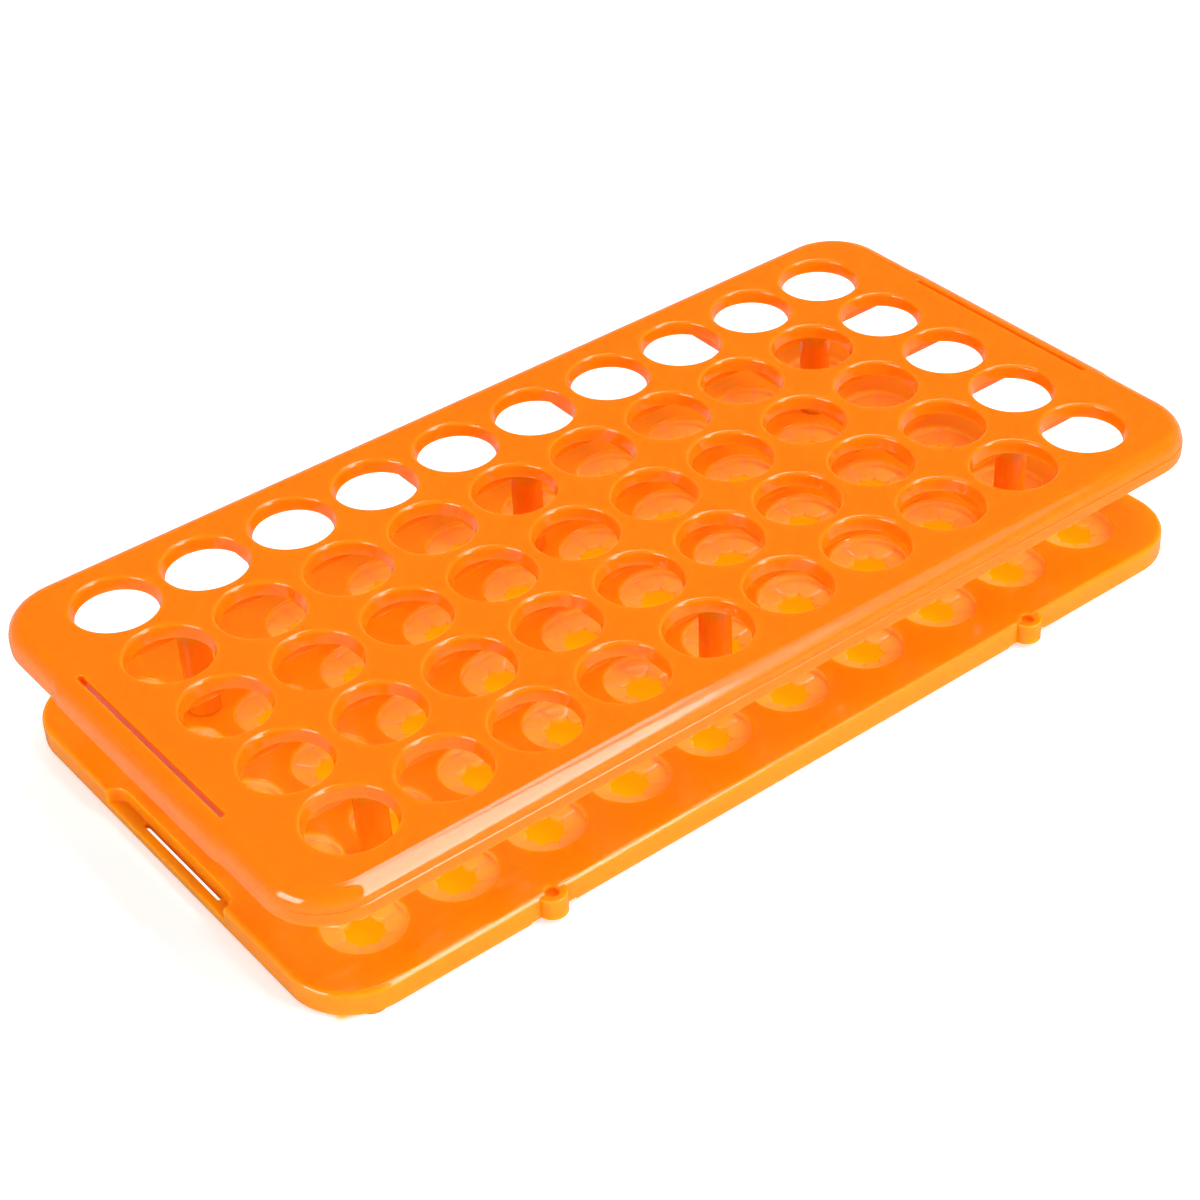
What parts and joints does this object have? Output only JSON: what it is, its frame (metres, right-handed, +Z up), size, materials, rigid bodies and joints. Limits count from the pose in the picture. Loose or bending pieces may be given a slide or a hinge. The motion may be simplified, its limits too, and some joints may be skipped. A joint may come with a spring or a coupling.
{
  "type": "centrifuge tube rack",
  "caption": "Low two-tier laboratory rack for centrifuge tubes: a plate of round holes over a plate of shallow cups with star openings, held apart by short posts.",
  "frame": {"origin": "middle of the rack on the surface that it stands on", "axes": "+X along the ten columns, +Y away from the side that the picture shows in front, +Z up"},
  "size_m": [0.2434, 0.1284, 0.0333],
  "materials": {
    "upper_plate_plastic": "glossy moulded polypropylene, slightly translucent",
    "lower_plate_plastic": "glossy moulded polypropylene, slightly translucent",
    "post_plastic": "moulded polypropylene, a more saturated shade"
  },
  "bodies": {
    "root": {"top_plate": "upper_plate_plastic", "bottom_plate": "lower_plate_plastic", "post_front_left": "post_plastic", "post_front_middle": "post_plastic", "post_front_right": "post_plastic", "post_back_left": "post_plastic", "post_back_middle": "post_plastic", "post_back_right": "post_plastic"}
  },
  "joints": []
}
